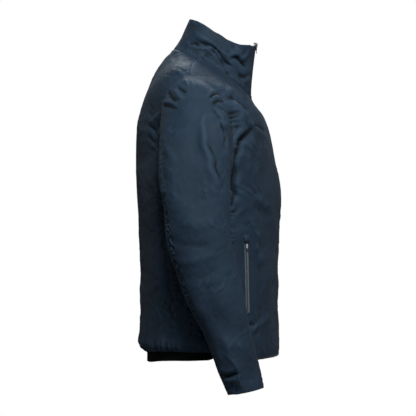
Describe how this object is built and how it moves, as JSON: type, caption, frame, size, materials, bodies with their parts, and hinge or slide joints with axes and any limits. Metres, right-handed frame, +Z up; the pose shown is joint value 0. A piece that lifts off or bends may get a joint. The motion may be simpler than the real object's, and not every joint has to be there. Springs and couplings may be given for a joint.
{
  "type": "foul weather jacket",
  "caption": "Hip-length zipped sailing jacket with a stand-up funnel collar, zipped hand pockets and a bloused hem on an elastic band, shaped as worn.",
  "frame": {"origin": "middle of the neck, level with the side neck points, where the jacket hangs on the wearer's shoulders", "axes": "+Z up along the wearer; the wearer faces -Y; the wearer's right is -X"},
  "size_m": [0.674, 0.3232, 0.8126],
  "materials": {
    "shell_cloth": "woven water-resistant nylon, fine plain weave",
    "collar_fleece": "brushed knit",
    "lining_cloth": "smooth taffeta",
    "elastic": "ribbed elastic",
    "loop_tape": "flat woven tape",
    "zip_tape": "woven zip tape",
    "zip_teeth": "moulded",
    "pocket_zip_tape": "woven zip tape",
    "pocket_zip_teeth": "coil",
    "black_metal": "satin black",
    "pale_metal": "satin pale grey",
    "puller_black": "moulded",
    "puller_grey": "moulded"
  },
  "bodies": {
    "torso": {"back_panel": "shell_cloth", "right_front_panel": "shell_cloth", "left_front_panel": "shell_cloth", "right_side_panel": "shell_cloth", "left_side_panel": "shell_cloth", "collar_outer": "shell_cloth", "collar_lining": "collar_fleece", "right_zip_tape": "zip_tape", "left_zip_tape": "zip_tape", "right_zip_chain": "zip_teeth", "left_zip_chain": "zip_teeth", "zip_retainer_box": "zip_teeth", "zip_insertion_pin": "zip_teeth", "zip_top_stops": "zip_teeth", "wind_flap": "lining_cloth", "hem_band": "elastic", "right_hem_facing": "shell_cloth", "left_hem_facing": "shell_cloth", "right_hem_binding": "elastic", "left_hem_binding": "elastic", "hanger_loop": "loop_tape", "back_lining": "lining_cloth", "right_front_lining": "lining_cloth", "left_front_lining": "lining_cloth", "right_pocket_welt": "shell_cloth", "left_pocket_welt": "shell_cloth", "right_pocket_tape": "pocket_zip_tape", "left_pocket_tape": "pocket_zip_tape", "right_pocket_chain": "pocket_zip_teeth", "left_pocket_chain": "pocket_zip_teeth", "right_pocket_stops": "pocket_zip_teeth", "left_pocket_stops": "pocket_zip_teeth", "right_pocket_garage": "shell_cloth", "left_pocket_garage": "shell_cloth", "right_pocket_bag": "lining_cloth", "left_pocket_bag": "lining_cloth", "right_upper_sleeve_outer": "shell_cloth", "left_upper_sleeve_outer": "shell_cloth", "right_upper_sleeve_under": "shell_cloth", "left_upper_sleeve_under": "shell_cloth", "right_upper_sleeve_lining": "lining_cloth", "left_upper_sleeve_lining": "lining_cloth", "right_elbow_section": "shell_cloth", "left_elbow_section": "shell_cloth"},
    "right_lower_sleeve": {"right_lower_sleeve_outer": "shell_cloth", "right_lower_sleeve_under": "shell_cloth", "right_lower_sleeve_lining": "lining_cloth", "right_cuff_facing": "shell_cloth", "right_inner_cuff": "elastic"},
    "left_lower_sleeve": {"left_lower_sleeve_outer": "shell_cloth", "left_lower_sleeve_under": "shell_cloth", "left_lower_sleeve_lining": "lining_cloth", "left_cuff_facing": "shell_cloth", "left_inner_cuff": "elastic"},
    "main_slider": {"main_slider": "black_metal"},
    "main_puller": {"main_puller": "puller_black"},
    "right_pocket_slider": {"right_pocket_slider": "pale_metal"},
    "left_pocket_slider": {"left_pocket_slider": "pale_metal"},
    "right_pocket_puller": {"right_pocket_puller": "puller_grey"},
    "left_pocket_puller": {"left_pocket_puller": "puller_grey"}
  },
  "joints": [
    {"name": "right_elbow", "type": "hinge", "parent": "torso", "child": "right_lower_sleeve", "pos_m": [-0.294, 0.014, -0.421], "axis": [-1, 0, 0], "range_deg": [-20, 75], "deforming": ["right_elbow_section"]},
    {"name": "left_elbow", "type": "hinge", "parent": "torso", "child": "left_lower_sleeve", "pos_m": [0.294, 0.014, -0.421], "axis": [-1, 0, 0], "range_deg": [-20, 75], "deforming": ["left_elbow_section"]},
    {"name": "main_zip", "type": "slide", "parent": "torso", "child": "main_slider", "axis": [0, 0.1312, -0.9914], "range_m": [0, 0.065], "deforming": ["right_zip_chain", "left_zip_chain"]},
    {"name": "main_puller_swing", "type": "hinge", "parent": "main_slider", "child": "main_puller", "pos_m": [0, -0.10941, 0.02932], "axis": [-1, 0, 0], "range_deg": [-10, 130]},
    {"name": "right_pocket_zip", "type": "slide", "parent": "torso", "child": "right_pocket_slider", "axis": [0.0523, -0.0245, -0.9983], "range_m": [0, 0.135], "deforming": ["right_pocket_chain"]},
    {"name": "right_pocket_puller_swing", "type": "hinge", "parent": "right_pocket_slider", "child": "right_pocket_puller", "pos_m": [-0.19431, -0.08308, -0.4072], "axis": [-0.5668, 0.8223, -0.0499], "range_deg": [-5, 90]},
    {"name": "left_pocket_zip", "type": "slide", "parent": "torso", "child": "left_pocket_slider", "axis": [-0.0523, -0.0245, -0.9983], "range_m": [0, 0.135], "deforming": ["left_pocket_chain"]},
    {"name": "left_pocket_puller_swing", "type": "hinge", "parent": "left_pocket_slider", "child": "left_pocket_puller", "pos_m": [0.19431, -0.08308, -0.4072], "axis": [-0.5668, -0.8223, 0.0499], "range_deg": [-5, 90]}
  ]
}
